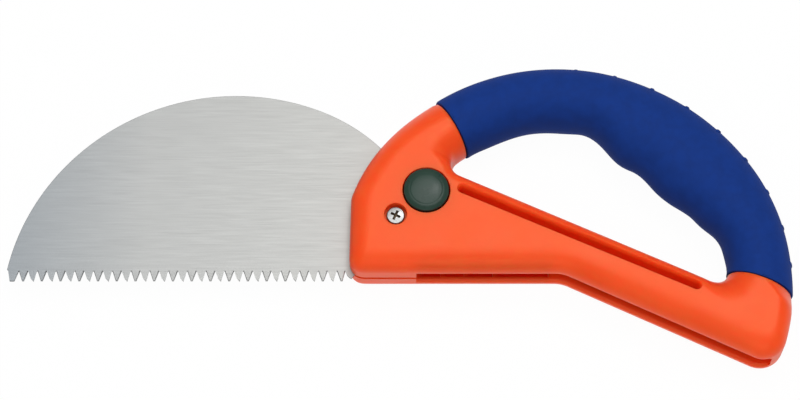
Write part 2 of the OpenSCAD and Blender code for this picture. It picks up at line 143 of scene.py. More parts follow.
def newPiece(name, verts, edges, faces):
    mesh = bpy.data.meshes.new(name)
    mesh.from_pydata([(x * mm, y * mm, z * mm) for x, y, z in verts], edges, faces)
    obj = bpy.data.objects.new(name, mesh)
    bpy.context.scene.collection.objects.link(obj)
    return obj


def addCylinder(name, radius, low, high, at=(0, 0), verts=96):
    clearSelection()
    bpy.ops.mesh.primitive_cylinder_add(vertices=verts, radius=radius * mm, depth=(high - low) * mm,
                                        location=(at[0] * mm, at[1] * mm, (low + high) / 2 * mm))
    return settle(named(name))


def addBox(name, low, high):
    clearSelection()
    centre = [(a + b) / 2 * mm for a, b in zip(low, high)]
    bpy.ops.mesh.primitive_cube_add(size=1, location=centre)
    obj = named(name)
    obj.scale = [(b - a) * mm for a, b in zip(low, high)]
    return settle(obj)


def addPlate(name, outline, low, high):
    # flat outline, filled and drawn up from low to high
    obj = newPiece(name, [(x, y, low) for x, y in outline], [], [list(range(len(outline)))])
    editAll(obj)
    bpy.ops.mesh.extrude_region_move(TRANSFORM_OT_translate={"value": (0, 0, (high - low) * mm)})
    return faceOutward(obj)


def addTurned(name, profile, at=(0, 0), steps=96, weld=0.002):
    # spin a half profile of (radius, height) points round a standing axis
    obj = newPiece(name, [(at[0] + r, at[1], z) for r, z in profile],
                   [(k, k + 1) for k in range(len(profile) - 1)], [])
    editAll(obj)
    bpy.ops.mesh.spin(steps=steps, angle=2 * pi, center=(at[0] * mm, at[1] * mm, 0), axis=(0, 0, 1))
    bpy.ops.mesh.select_all(action="SELECT")
    bpy.ops.mesh.remove_doubles(threshold=weld * mm)
    return faceOutward(obj)


def arc(centre, radius, start, end, count):
    turns = [radians(start + (end - start) * k / count) for k in range(count + 1)]
    return [(centre[0] + radius * cos(a), centre[1] + radius * sin(a)) for a in turns]


# shader groups that several finishes share
def newGroup(name, inputs, outputs):
    group = bpy.data.node_groups.new(name, "ShaderNodeTree")
    for label, value in inputs.items():
        socket = group.interface.new_socket(label, in_out="INPUT", socket_type="NodeSocketFloat")
        socket.default_value = value
    for label in outputs:
        group.interface.new_socket(label, in_out="OUTPUT", socket_type="NodeSocketFloat")
    return group, group.nodes.new("NodeGroupInput"), group.nodes.new("NodeGroupOutput")


def placeGroup(tree, group, **values):
    node = tree.nodes.new("ShaderNodeGroup")
    node.node_tree = group
    for label, value in values.items():
        node.inputs[label].default_value = value
    return node


def noiseNode(tree, **values):
    node = tree.nodes.new("ShaderNodeTexNoise")
    for label, value in values.items():
        node.inputs[label].default_value = value
    return node


def mathNode(tree, operation, a, b=None):
    node = tree.nodes.new("ShaderNodeMath")
    node.operation = operation
    for k, value in enumerate((a, b)):
        if isinstance(value, (int, float)):
            node.inputs[k].default_value = value
        elif value is not None:
            tree.links.new(value, node.inputs[k])
    return node.outputs[0]


def splitAxes(tree, source):
    node = tree.nodes.new("ShaderNodeSeparateXYZ")
    tree.links.new(source, node.inputs[0])
    return node.outputs


def objectPlace(tree):
    return tree.nodes.new("ShaderNodeTexCoord").outputs["Object"]


def mouldSkin():
    # fine moulded texture: height for bump, soft mottling for colour
    group, start, end = newGroup("mouldSkin", {"Grain": 900.0, "Mottle": 60.0}, ("Height", "Mottling"))
    place = objectPlace(group)
    fineNoise = noiseNode(group, Detail=3.0, Roughness=0.6)
    wideNoise = noiseNode(group, Detail=4.0, Roughness=0.55)
    for noise, size, result in ((fineNoise, "Grain", "Height"), (wideNoise, "Mottle", "Mottling")):
        group.links.new(place, noise.inputs["Vector"])
        group.links.new(start.outputs[size], noise.inputs["Scale"])
        group.links.new(noise.outputs["Fac"], end.inputs[result])
    return group


def brushMarks():
    # long fine scratches along one axis, as a grinding belt leaves them
    group, start, end = newGroup("brushMarks", {"Across": 9000.0, "Along": 60.0}, ("Height", "Streak"))
    axes = splitAxes(group, objectPlace(group))
    join = group.nodes.new("ShaderNodeCombineXYZ")
    for axis, size in (("X", "Along"), ("Y", "Across"), ("Z", "Across")):
        group.links.new(mathNode(group, "MULTIPLY", axes[axis], start.outputs[size]), join.inputs[axis])
    noise = noiseNode(group, Scale=1.0, Detail=2.0, Roughness=0.5)
    group.links.new(join.outputs[0], noise.inputs["Vector"])
    for result in ("Height", "Streak"):
        group.links.new(noise.outputs["Fac"], end.inputs[result])
    return group


mouldGroup = mouldSkin()
brushGroup = brushMarks()


# finishes; noise mostly lies within its band, places and bump depths are in metres
surface = {"band": (0.3, 0.7), "mottleBand": (0.35, 0.65), "mouldDeep": 0.00004, "brushDeep": 0.00002}


def newMaterial(name, roughness, metallic=0.0, **sockets):
    material = bpy.data.materials.new(name)
    material.use_nodes = True
    tree = material.node_tree
    shader = tree.nodes["Principled BSDF"]
    shader.inputs["Roughness"].default_value = roughness
    shader.inputs["Metallic"].default_value = metallic
    for label, value in sockets.items():
        shader.inputs[label.replace("_", " ")].default_value = value
    return material, tree, shader


def srgb(*levels):
    # screen colour to linear light
    return tuple(((c / 255 + 0.055) / 1.055) ** 2.4 if c > 10 else c / 255 / 12.92 for c in levels) + (1.0,)


def colourRamp(tree, source, stops):
    ramp = tree.nodes.new("ShaderNodeValToRGB")
    while len(ramp.color_ramp.elements) < len(stops):
        ramp.color_ramp.elements.new(0.5)
    for element, (place, colour) in zip(ramp.color_ramp.elements, stops):
        element.position = place
        element.color = colour
    tree.links.new(source, ramp.inputs["Fac"])
    return ramp.outputs["Color"]


def rangeNode(tree, source, old, new):
    node = tree.nodes.new("ShaderNodeMapRange")
    for label, value in zip(("From Min", "From Max", "To Min", "To Max"), (*old, *new)):
        node.inputs[label].default_value = value
    tree.links.new(source, node.inputs["Value"])
    return node.outputs["Result"]


def scaledColour(tree, colour, factor):
    node = tree.nodes.new("ShaderNodeVectorMath")
    node.operation = "SCALE"
    tree.links.new(colour, node.inputs[0])
    tree.links.new(factor, node.inputs["Scale"])
    return node.outputs[0]


def bumpFrom(tree, shader, height, strength, distance):
    bump = tree.nodes.new("ShaderNodeBump")
    bump.inputs["Strength"].default_value = strength
    bump.inputs["Distance"].default_value = distance
    tree.links.new(height, bump.inputs["Height"])
    tree.links.new(bump.outputs["Normal"], shader.inputs["Normal"])


def mouldedFinish(name, dark, light, roughness, grain, mottle, bump, spread=0.05, **sockets):
    material, tree, shader = newMaterial(name, roughness, **sockets)
    skin = placeGroup(tree, mouldGroup, Grain=grain, Mottle=mottle)
    mottling = skin.outputs["Mottling"]
    colour = colourRamp(tree, mottling, list(zip(surface["mottleBand"], (dark, light))))
    rough = rangeNode(tree, mottling, surface["band"], (roughness - spread, roughness + spread))
    tree.links.new(colour, shader.inputs["Base Color"])
    tree.links.new(rough, shader.inputs["Roughness"])
    bumpFrom(tree, shader, skin.outputs["Height"], bump, surface["mouldDeep"])
    return material


def brushedFinish(name, dark, light, roughness, across, along, bump=0.1, spread=0.06):
    material, tree, shader = newMaterial(name, roughness, metallic=1.0)
    marks = placeGroup(tree, brushGroup, Across=across, Along=along)
    streak = marks.outputs["Streak"]
    colour = colourRamp(tree, streak, list(zip(surface["band"], (dark, light))))
    rough = rangeNode(tree, streak, surface["band"], (roughness + spread, roughness - spread))
    tree.links.new(colour, shader.inputs["Base Color"])
    tree.links.new(rough, shader.inputs["Roughness"])
    bumpFrom(tree, shader, marks.outputs["Height"], bump, surface["brushDeep"])
    return material


# the recess colour is painted shade for the cross recess, placed by the recess radius and height
pivotZinc = {"across": 1500.0, "along": 900.0, "dark": srgb(118, 119, 119), "light": srgb(142, 142, 141),
             "recess": srgb(84, 68, 48), "recessR": (0.0023, 0.0026), "recessZ": (0.0248, 0.0252),
             "metallic": (1.0, 0.4), "roughness": (0.25, 0.6), "bump": 0.1}


def screwFinish(name):
    # bright zinc, with painted shade in the cross recess: a dark brown colour there, also less metallic and
    # rougher
    material, tree, shader = newMaterial(name, pivotZinc["roughness"][0], pivotZinc["metallic"][0])
    marks = placeGroup(tree, brushGroup, Across=pivotZinc["across"], Along=pivotZinc["along"])
    axes = splitAxes(tree, objectPlace(tree))
    squares = [mathNode(tree, "MULTIPLY", axes[axis], axes[axis]) for axis in ("X", "Y")]
    radius = mathNode(tree, "SQRT", mathNode(tree, "ADD", *squares))
    # mask of the cross recess, where the painted shade goes
    within = rangeNode(tree, radius, pivotZinc["recessR"], (1.0, 0.0))
    sunk = rangeNode(tree, axes["Z"], pivotZinc["recessZ"], (1.0, 0.0))
    recess = mathNode(tree, "MULTIPLY", within, sunk)
    bright = colourRamp(tree, marks.outputs["Streak"],
                        list(zip(surface["band"], (pivotZinc["dark"], pivotZinc["light"]))))
    mixer = tree.nodes.new("ShaderNodeMix")
    mixer.data_type = "RGBA"
    tree.links.new(recess, mixer.inputs[0])
    tree.links.new(bright, mixer.inputs[6])  # 6 and 7 are the two colours
    mixer.inputs[7].default_value = pivotZinc["recess"]
    tree.links.new(mixer.outputs[2], shader.inputs["Base Color"])
    tree.links.new(rangeNode(tree, recess, (0.0, 1.0), pivotZinc["metallic"]), shader.inputs["Metallic"])
    tree.links.new(rangeNode(tree, recess, (0.0, 1.0), pivotZinc["roughness"]), shader.inputs["Roughness"])
    bumpFrom(tree, shader, marks.outputs["Height"], pivotZinc["bump"], surface["brushDeep"])
    return material


# the tones along the blade are painted reflection, darker and bluer toward the point
groundSteel = {"across": 7000.0, "along": 70.0, "pointAt": -0.154, "streak": (0.96, 1.03), "plain": 0.45,
               "reflectionTones": ((0.0, srgb(136, 141, 145)), (0.35, srgb(158, 159, 158)), (1.0, srgb(164, 164, 161))),
               "flankTilt": (0.85, 0.99), "flankShade": (0.62, 1.0), "metallic": 0.5,
               "roughness": (0.5, 0.4), "bump": 0.12}


def bladeFinish(name):
    # ground steel; painted reflection makes it darker and bluer toward the point, and painted shade darkens
    # the tilted ground flanks of the teeth
    material, tree, shader = newMaterial(name, groundSteel["plain"], groundSteel["metallic"])
    marks = placeGroup(tree, brushGroup, Across=groundSteel["across"], Along=groundSteel["along"])
    streak = marks.outputs["Streak"]
    axes = splitAxes(tree, objectPlace(tree))
    # painted reflection: the colour runs darker and cooler toward the point
    along = rangeNode(tree, axes["X"], (groundSteel["pointAt"], 0.0), (0.0, 1.0))
    colour = colourRamp(tree, along, groundSteel["reflectionTones"])
    colour = scaledColour(tree, colour, rangeNode(tree, streak, surface["band"], groundSteel["streak"]))
    # painted shade: faces tilted away from flat, the tooth flanks, are darkened
    facing = splitAxes(tree, tree.nodes.new("ShaderNodeNewGeometry").outputs["Normal"])
    upright = mathNode(tree, "ABSOLUTE", facing["Z"])
    paintedFlankShade = rangeNode(tree, upright, groundSteel["flankTilt"], groundSteel["flankShade"])
    tree.links.new(scaledColour(tree, colour, paintedFlankShade), shader.inputs["Base Color"])
    rough = rangeNode(tree, streak, surface["band"], groundSteel["roughness"])
    tree.links.new(rough, shader.inputs["Roughness"])
    bumpFrom(tree, shader, marks.outputs["Height"], groundSteel["bump"], surface["brushDeep"])
    return material


finishes = {
    "orange": mouldedFinish("orangePlastic", srgb(240, 75, 22), srgb(243, 80, 26), roughness=0.4,
                            grain=2600.0, mottle=70.0, bump=0.12, Specular_IOR_Level=0.4,
                            Specular_Tint=(1.0, 0.85, 0.5, 1.0), Subsurface_Weight=0.7,
                            Subsurface_Radius=(1.0, 0.1, 0.06), Subsurface_Scale=0.005),
    "blue": mouldedFinish("blueGrip", srgb(12, 47, 118), srgb(15, 51, 126), roughness=0.75, grain=1500.0,
                          mottle=220.0, bump=0.5, spread=0.04, Specular_IOR_Level=0.12),
    "button": mouldedFinish("buttonPlastic", srgb(31, 54, 44), srgb(36, 60, 50), roughness=0.3, grain=2600.0,
                            mottle=160.0, bump=0.15, Specular_IOR_Level=0.25),
    "blade": bladeFinish("bladeSteel"),
    "zinc": brushedFinish("zincSteel", srgb(150, 151, 150), srgb(176, 176, 174), roughness=0.25,
                          across=1500.0, along=900.0),
    "pivot": screwFinish("pivotZinc"),
    "turned": brushedFinish("turnedSteel", srgb(176, 179, 180), srgb(198, 200, 200), roughness=0.32,
                            across=2500.0, along=2500.0),
    "brass": brushedFinish("insertBrass", srgb(170, 132, 54), srgb(192, 152, 70), roughness=0.3,
                           across=2500.0, along=2500.0),
    "washer": mouldedFinish("washerPlastic", srgb(226, 224, 216), srgb(236, 234, 228), roughness=0.45,
                            grain=2600.0, mottle=160.0, bump=0.1),
}
print("finishes made:", len(finishes))


def dress(obj, finish, body, *replaced):
    obj.data.materials.clear()
    obj.data.materials.append(finishes[finish])
    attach(obj, body)
    if replaced:
        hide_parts(*replaced)
    return obj


# handle outline, the same rule as the solids; angles in degrees round the hub, eases in steps along the edge
handle = {
    "thick": 27.0, "gap": 0.1, "hub": (64.5, -29.3), "arc": 93.9, "hole": 69.2,
    "gripStart": 121.2, "gripEnd": -1.2, "cut": -19.0, "proud": 0.6, "gripThick": 2.6, "seam": 0.3,
    "noseX": -18.3, "noseLean": 1.4, "corner": 8.0, "cornerSharp": 1.0, "browIn": 3.0, "browFull": 0.6,
    "bellyY": -22.4, "bellyX": 20.0, "bendX": 66.0, "bendR": 12.0, "lowDir": -25.0,
    "tailIn": 2.9, "tailRound": 9.4, "beamDir": -24.2, "beamTop": 26.4,
    "beamParts": ((0, 0.64), (0.64, 0.09), (0.73, 0.27)),  # start and share of the straight side
    "holeLeft": 5.6, "holeTurns": (222, 190, 175, 160), "holeRight": 7.4, "holeShrink": 0.6,
    "edge": 7.5, "rail": 4.5, "flatRim": 0.6,
    "tailWide": 0.65, "beamWide": 1.38, "noseWide": 1.12, "browWide": 0.75, "wideOver": (4, 4, 5),
    "outerEase": (1.5, 8), "innerEase": (10, 14), "leanEase": (5, 6), "easeEnd": 36, "easePasses": 100,
    "gripSteps": 36, "hookSteps": 3, "fine": 4, "steps": 14, "crease": 32,
}
waves = {
    "crown": 1.5, "crownOver": 115, "crownPower": 0.75, "tailFrom": 34, "tailOver": 62,
    "shrinkFrom": 40, "shrinkOver": 30, "dip": 0.6, "dipAt": 27, "dipHalf": 6,
    "swell": 9.6, "swellEnd": 82, "swellOut": 21, "swellStart": 16.4, "swellIn": 24.7,
    "ripple": 0.9, "rippleAt": 58.6, "rippleStep": 24.7,
    "topShare": 0.4, "topAt": 98, "topStep": 28, "topFrom": 80, "topOver": 8,
}
half = handle["thick"] / 2
hub = Vector(handle["hub"])
bellyY, corner, tailRound = handle["bellyY"], handle["corner"], handle["tailRound"]
fine = handle["fine"]


def mid(z):
    # height above the middle plane to height above the floor
    return z + half


def ahead(a):
    return Vector((cos(radians(a)), sin(radians(a))))


def mix(a, b, t):
    return a + (b - a) * t


def ramp(t):
    t = min(max(t, 0.0), 1.0)
    return t * t * (3 - 2 * t)


def lift(a):
    t = min(max((handle["gripStart"] - a) / waves["crownOver"], 0), 1)
    return waves["crown"] * sin(pi * t ** waves["crownPower"])


def gripArc(a):
    return handle["arc"] + lift(a) - handle["tailIn"] * ramp((waves["tailFrom"] - a) / waves["tailOver"])


def gripInside(a):
    # a broad swell with ripples for the fingers, a shallow wave above it and a dip below it
    close = (ramp((waves["swellEnd"] - a) / waves["swellOut"])
             * ramp((a - waves["swellStart"]) / waves["swellIn"]))
    wave = (cos(radians(360 * (a - waves["topAt"]) / waves["topStep"]))
            * ramp((a - waves["topFrom"]) / waves["topOver"])
            * ramp((handle["gripStart"] - a) / waves["topOver"]))
    fingers = waves["ripple"] * cos(radians(360 * (a - waves["rippleAt"]) / waves["rippleStep"]))
    return (handle["hole"] + lift(a)
            - handle["holeShrink"] * ramp((waves["shrinkFrom"] - a) / waves["shrinkOver"])
            + waves["topShare"] * waves["ripple"] * wave
            - close * (waves["swell"] - fingers)
            - waves["dip"] * max(0, 1 - ((a - waves["dipAt"]) / waves["dipHalf"]) ** 2) ** 2)


def touchAngle(up, line, radius, reach):
    # angle at the hub between a line's normal and a round that touches the line and the arc of that reach
    return degrees(acos((line + radius - up.dot(hub)) / (reach - radius)))


# centres and angles of the rounds
beamUp = ahead(90 + handle["beamDir"])
lowUp = ahead(90 + handle["lowDir"])
lowOff = lowUp.dot(Vector((handle["bendX"], bellyY)))
holeR, holeEndR = handle["hole"], handle["hole"] - handle["holeShrink"]
leftA = 90 + handle["beamDir"] + touchAngle(beamUp, handle["beamTop"], handle["holeLeft"], holeR)
rightA = 90 + handle["beamDir"] - touchAngle(beamUp, handle["beamTop"], handle["holeRight"], holeEndR)
leftC = hub + (holeR - handle["holeLeft"]) * ahead(leftA)
rightC = hub + (holeEndR - handle["holeRight"]) * ahead(rightA)
footA = handle["beamDir"] - 90
tailR = handle["arc"] - handle["tailIn"]
browR = handle["arc"] - handle["browIn"]
tailA = 90 + handle["lowDir"] - touchAngle(lowUp, lowOff, tailRound, tailR)
tailC = hub + (tailR - tailRound) * ahead(tailA)
noseA = 180 - handle["noseLean"]
noseOut = ahead(noseA)
noseC = Vector((handle["noseX"] + corner / cos(radians(handle["noseLean"])), bellyY + corner))
browA = noseA - degrees(acos(noseOut.dot(noseC - hub) / (browR - corner)))
browC = hub + (browR - corner) * ahead(browA)
bendLong = handle["bendR"] * tan(radians(-handle["lowDir"] / 2))
bendC = Vector((handle["bendX"] - bendLong, bellyY - handle["bendR"]))
lineStart = rightC - handle["holeRight"] * beamUp
lineEnd = leftC - handle["holeLeft"] * beamUp


def onArc(centre, radius, start, end):
    return lambda t: centre + radius * ahead(mix(start, end, t))


def onLeft(start, end):
    return onArc(leftC, handle["holeLeft"], start, end)


def onBeam(start, share):
    return lambda t: lineStart.lerp(lineEnd, start + share * t)


def onBelly(start, end):
    return lambda t: Vector((mix(start, end, t), bellyY))


def hookLine(t):
    return hub + mix(gripArc(handle["gripEnd"]), tailR, t) * ahead(mix(handle["gripEnd"], tailA, t))


def lowLine(t):
    return (tailC - tailRound * lowUp).lerp(bendC + handle["bendR"] * lowUp, t)


def noseLine(t):
    return noseC.lerp(browC, t) + corner * noseOut


# steps, outer edge and finger opening of each stretch, clockwise from the lower end of the grip;
# None is part of a round that two stretches share
beamParts, holeTurns = handle["beamParts"], handle["holeTurns"]
stretches = [
    (3, hookLine, None),
    (6, onArc(tailC, tailRound, tailA, handle["lowDir"] - 90), None),
    (4, lowLine, onBeam(*beamParts[0])),
    (3, onArc(bendC, handle["bendR"], 90 + handle["lowDir"], 90), onBeam(*beamParts[1])),
    (4, onBelly(bendC.x, handle["bellyX"]), onBeam(*beamParts[2])),
    (3, onBelly(handle["bellyX"], noseC.x), onLeft(footA + 360, holeTurns[0])),
    (5, onArc(noseC, corner, 270, noseA), onLeft(holeTurns[0], holeTurns[1])),
    (2, noseLine, onLeft(holeTurns[1], holeTurns[2])),
    (3, onArc(browC, corner, noseA, browA), onLeft(holeTurns[2], holeTurns[3])),
    (5, None, onLeft(holeTurns[3], leftA)),
    (3, None, onArc(hub, holeR, leftA, handle["gripStart"])),
]
stepsAt = [sum(row[0] for row in stretches[:n]) for n in range(len(stretches) + 1)]
tailStep, lowStep, bellyStep, noseStep, browStep = (stepsAt[n] for n in (1, 2, 5, 6, 9))


def restEdges():
    outer, inner = [], []
    for before, (count, outLine, holeLine) in zip(stepsAt, stretches):
        total = count * fine
        for k in range(1 if outer else 0, total + 1):
            t = k / total
            if outLine is None:  # one arc of the brow
                s = (t * count + (before - browStep)) / (stepsAt[-1] - browStep)
                reach = mix(browR, handle["arc"], s) + handle["browFull"] * sin(pi * s)
                outer.append(hub + reach * ahead(mix(browA, handle["gripStart"], s)))
            else:
                outer.append(outLine(t))
            if holeLine is None:  # one round corner by the tail
                s = (t * count + before) / lowStep
                inner.append(rightC + handle["holeRight"] * ahead(mix(handle["cut"], footA, s)))
            else:
                inner.append(holeLine(t))
    return outer, inner


def gripEdges():
    outer, inner = [], []
    whole, hook = handle["gripSteps"] * fine, handle["hookSteps"] * fine
    for k in range(whole + hook + 1):
        a = mix(handle["gripStart"], handle["gripEnd"], k / (whole + hook))
        outer.append(hub + gripArc(a) * ahead(a))
        if k <= whole:
            b = mix(handle["gripStart"], rightA, k / whole)
            inner.append(hub + gripInside(b) * ahead(b))
        else:
            inner.append(rightC + handle["holeRight"] * ahead(mix(rightA, handle["cut"], (k - whole) / hook)))
    return outer, inner


def squareTo(points, k, side):
    step = points[min(k + 1, len(points) - 1)] - points[max(k - 1, 0)]
    step.normalize()
    return Vector((step.y, -step.x)) * side


def leanTo(points, other, k, side, share):
    # square to the edge, turned toward the other edge by share
    return squareTo(points, k, side).lerp((other[k] - points[k]).normalized(), share).normalized()


def cornerOut(k):
    # the lower nose corner reaches out a little more than its own radius
    t = min(max((k / fine - noseStep) / stretches[6][0], 0), 1)
    return handle["cornerSharp"] * sin(pi * t) ** 2


def sectionAt(outer, inner, k, rounding, inset, base, share=1.0, out=0.0, meet=None):
    # one section of the handle from the outer edge over the side to the finger opening
    fromOuter, fromInner = leanTo(outer, inner, k, 1, share), leanTo(inner, outer, k, -1, share)
    sink = max(inset, 0.0)
    wide = (rounding[0] - inset + out / 2, rounding[2] - inset)
    deep = (rounding[1] - sink, rounding[3] - sink)
    top = half - sink
    outerAt, innerAt = outer[k] + fromOuter * (inset - out), inner[k] + fromInner * inset
    over = fromOuter * wide[0] if meet is None else meet - outerAt
    steps = handle["steps"]
    turns = [radians(90 * n / steps) for n in range(steps + 1)]
    ring = [(outerAt.x, outerAt.y, base)]
    for a in turns:
        p = outerAt + over * (1 - cos(a))
        ring.append((p.x, p.y, top - deep[0] * (1 - sin(a))))
    for a in reversed(turns):
        p = innerAt + fromInner * wide[1] * (1 - cos(a))
        ring.append((p.x, p.y, top - deep[1] * (1 - sin(a))))
    ring.append((innerAt.x, innerAt.y, base))
    return ring


def roundingAt(o, i, outerShare, innerShare, wide=1.0):
    # width and depth of the outer rounding, then of the inner one; a share of 0 makes one full round
    full = (o - i).length / 2 - handle["flatRim"] / 2
    return (mix(full, handle["edge"] * wide, outerShare), mix(half, handle["edge"], outerShare),
            mix(full, handle["rail"], innerShare), mix(half, handle["rail"], innerShare))


def skinRings(name, rings, lastToFirst):
    # skin a row of equal closed rings into one mesh, round in a loop or capped at both ends;
    # heights are above the middle plane
    count = len(rings[0])
    verts = [(x, y, mid(z)) for ring in rings for x, y, z in ring]
    faces = []
    for s in range(len(rings) if lastToFirst else len(rings) - 1):
        t = (s + 1) % len(rings)
        for j in range(count):
            m = (j + 1) % count
            faces.append((s * count + j, s * count + m, t * count + m, t * count + j))
    if not lastToFirst:
        faces += [tuple(range(count - 1, -1, -1)), tuple(range(len(verts) - count, len(verts)))]
    return faceOutward(newPiece(name, verts, [], faces))


gripOuter, gripInner = gripEdges()
restOuter, restInner = restEdges()
lastRest = len(restOuter) - 1


def eased(k, ends):
    # 0 where the shell meets the grip at either end, 1 between
    return ramp(k / fine / ends[0]) * ramp((lastRest - k) / fine / ends[1])


def edgeWide(s):
    # narrow at the tail, wide along the beam and the belly, a little less round the nose, narrow on the brow
    tailOver, noseOver, browOver = handle["wideOver"]
    lower = mix(handle["tailWide"], handle["beamWide"], ramp((s - tailStep) / tailOver))
    front = mix(lower, handle["noseWide"], ramp((s - noseStep) / noseOver))
    return mix(front, handle["browWide"], ramp((s - browStep) / browOver))


gripRound = [roundingAt(o, i, 0, 0) for o, i in zip(gripOuter, gripInner)]
restRound = [roundingAt(o, i, eased(k, handle["outerEase"]), eased(k, handle["innerEase"]),
                        edgeWide(k / fine)) for k, (o, i) in enumerate(zip(restOuter, restInner))]
restShare = [1 - eased(k, handle["leanEase"]) for k in range(lastRest + 1)]


def flatEdge():
    # where the outer rounding meets the flat side, eased so that it never folds at the corners
    edge = [o + leanTo(restOuter, restInner, k, 1, restShare[k]) * (restRound[k][0] - cornerOut(k) / 2)
            for k, o in enumerate(restOuter)]
    for _ in range(handle["easePasses"]):
        edge = [(edge[k - 1] + 2 * p + edge[k + 1]) / 4 if fine < k < handle["easeEnd"] * fine else p
                for k, p in enumerate(edge)]
    return edge


def shellBlank(name):
    core = handle["gripThick"] - handle["proud"]
    base = handle["gap"] / 2
    rings = [sectionAt(gripOuter, gripInner, k, gripRound[k], core, base) for k in range(len(gripOuter))]
    for k, meet in enumerate(flatEdge()):
        atEnd = k in (0, lastRest)
        rings.append(sectionAt(restOuter, restInner, k, restRound[k], handle["seam"] if atEnd else 0.0, base,
                               restShare[k], cornerOut(k), None if atEnd else meet))
    blank = skinRings(name, rings, True)
    # one plain face for the flat side, so that later cuts leave no splinters on it
    top, level = (2 * half - 0.0005) * mm, 0.99999
    selectBy(blank, "FACE", lambda centre, normal: centre.z > top and abs(normal.z) > level)
    bpy.ops.mesh.dissolve_faces()
    bpy.ops.object.mode_set(mode="OBJECT")
    return blank


def copyFar(obj, name):
    # copy of a finished half, mirrored to the far side of the middle plane
    far = obj.copy()
    far.data = obj.data.copy()
    far.name = far.data.name = name
    bpy.context.scene.collection.objects.link(far)
    far.data.transform(Matrix.Translation((0, 0, half * mm)) @ Matrix.Scale(-1, 4, (0, 0, 1))
                       @ Matrix.Translation((0, 0, -half * mm)))
    return faceOutward(far)


# spaces inside the handle; heights are above the middle plane
inside = {
    "fold": 153.0, "toothLine": 24.6, "slitHalf": 0.9, "slitEnd": 60.0, "slitOver": 0.6, "below": -2.0,
    "bladeCentre": (-64.8, -35.3), "bladeR": 91.1, "backGap": 1.0, "backTurn": (160, 20), "backSteps": 280,
    "slotHalf": 4.3, "slotStart": 8.2, "slotDeep": 14.0, "lockClear": 27.0, "lockTurn": 80, "lockSteps": 60,
    "swing": 158.0, "swingTurn": (-15, -45), "swingSteps": 90,
    "mouthR": 1.6, "mouthOut": 0.4, "mouthIn": 0.3, "mouthShort": 0.1,
    "seat": 1.45, "washerR": 7.2, "farLeft": -60.0, "farLow": -110.0, "farHigh": 80.0,
}
hollow = {"beamCount": 4, "beamStart": 3.0, "beamStep": 19.5, "beamLong": 17.0, "beamLow": 3.2,
          "beamHigh": 11.6, "ribs": (8.8, 18.5, 27.9, 39.3, 61.5), "ribHalf": 0.6,
          "bellyLow": 2.1, "bellyHigh": 13.1, "overlap": 1.0, "skin": 4.0}
groove = {"start": (26.4, 10.34), "end": (117.8, -29.94), "width": 3.2, "roundSteps": 16,
          "levels": ((8.0, 2.6), (5.0, 2.75), (3.0, 2.95), (1.8, 3.15), (1.1, 3.4), (0.6, 3.7), (0.3, 4.0),
                     (0.1, 4.35), (-0.2, 5.0), (-3.0, 5.2))}  # depth and width
lock = {"reach": 15.8, "angle": 39.4, "buttonR": 8.92, "gap": 0.58, "well": 3.0, "ease": 0.2,
        "stemR": 3.1, "stemCut": (-1, 8), "flangeR": 7.3, "flangeCut": (-6.15, 2),
        "springR": 4.95, "springCut": (-10.0, 0)}
lockAt = lock["reach"] * ahead(lock["angle"])
pivot = {"headR": 3.6, "headLow": 10.1, "rim": 0.8, "boreR": 2.1, "boreCut": (0, 20),
         "insertR": 3.52, "insertCut": (-9.45, 2)}
caseScrew = {"headR": 2.8, "gap": 0.3, "headSides": 48,
             "under": -3.0, "bed": 6.0, "gripTop": 8.0,  # these three above the floor
             "shankR": 1.5, "threadGap": 0.03, "threadCut": (-1, 9), "shankGap": 0.1,
             "shankCut": (3 - half, 1), "shankSides": 32,
             "neckIn": 10.5, "neckTurn": 129.2, "crownTurn": 98, "palmTurn": 58, "wristTurn": 22,
             "tailShare": 0.36}


def gripMiddle(a):
    return hub + (gripArc(a) + gripInside(a)) / 2 * ahead(a)


caseScrews = {
    "case_screw_neck": hub + (handle["arc"] - caseScrew["neckIn"]) * ahead(caseScrew["neckTurn"]),
    "case_screw_crown": gripMiddle(caseScrew["crownTurn"]),
    "case_screw_palm": gripMiddle(caseScrew["palmTurn"]),
    "case_screw_wrist": gripMiddle(caseScrew["wristTurn"]),
    "case_screw_tail": tailC.lerp(rightC, caseScrew["tailShare"]),
}
foldUp = ahead(inside["fold"] - 90)


def foldY(x):
    # height of the folded tooth line
    return (inside["toothLine"] - foldUp.x * x) / foldUp.y


def bore(name, radius, cut, at=(0, 0), verts=96):
    return addCylinder(name, radius, mid(cut[0]), mid(cut[1]), at, verts)


def grooveCutter():
    # steep lower wall, upper wall rolling softly into the rail
    a, b = Vector(groove["start"]), Vector(groove["end"])
    turn = degrees(atan2(b.y - a.y, b.x - a.x))
    up, steps = ahead(turn + 90), groove["roundSteps"]
    rings = []
    for deep, wide in groove["levels"]:
        shift = up * (wide - groove["width"]) / 2
        outline = (arc(a + shift, wide / 2, turn + 90, turn + 270, steps)
                   + arc(b + shift, wide / 2, turn - 90, turn + 90, steps))
        rings.append([(x, y, half - deep) for x, y in outline])
    return skinRings("grooveCutter", rings, False)


def slitCutter(low, high):
    # bounded by the round back where that lies above the folded teeth
    left, end, foot, over = inside["farLeft"], inside["slitEnd"], inside["farLow"], inside["slitOver"]
    backR = inside["bladeR"] + inside["backGap"]
    back = arc(inside["bladeCentre"], backR, *inside["backTurn"], inside["backSteps"])
    outline = [(left, foot), (left, inside["farHigh"])]
    outline += [p for p in back if left < p[0] < end and p[1] > foldY(p[0]) + over]
    outline += [(end, foldY(end) + over), (end, foot)]
    return addPlate("slitCutter", outline, mid(low), mid(high))


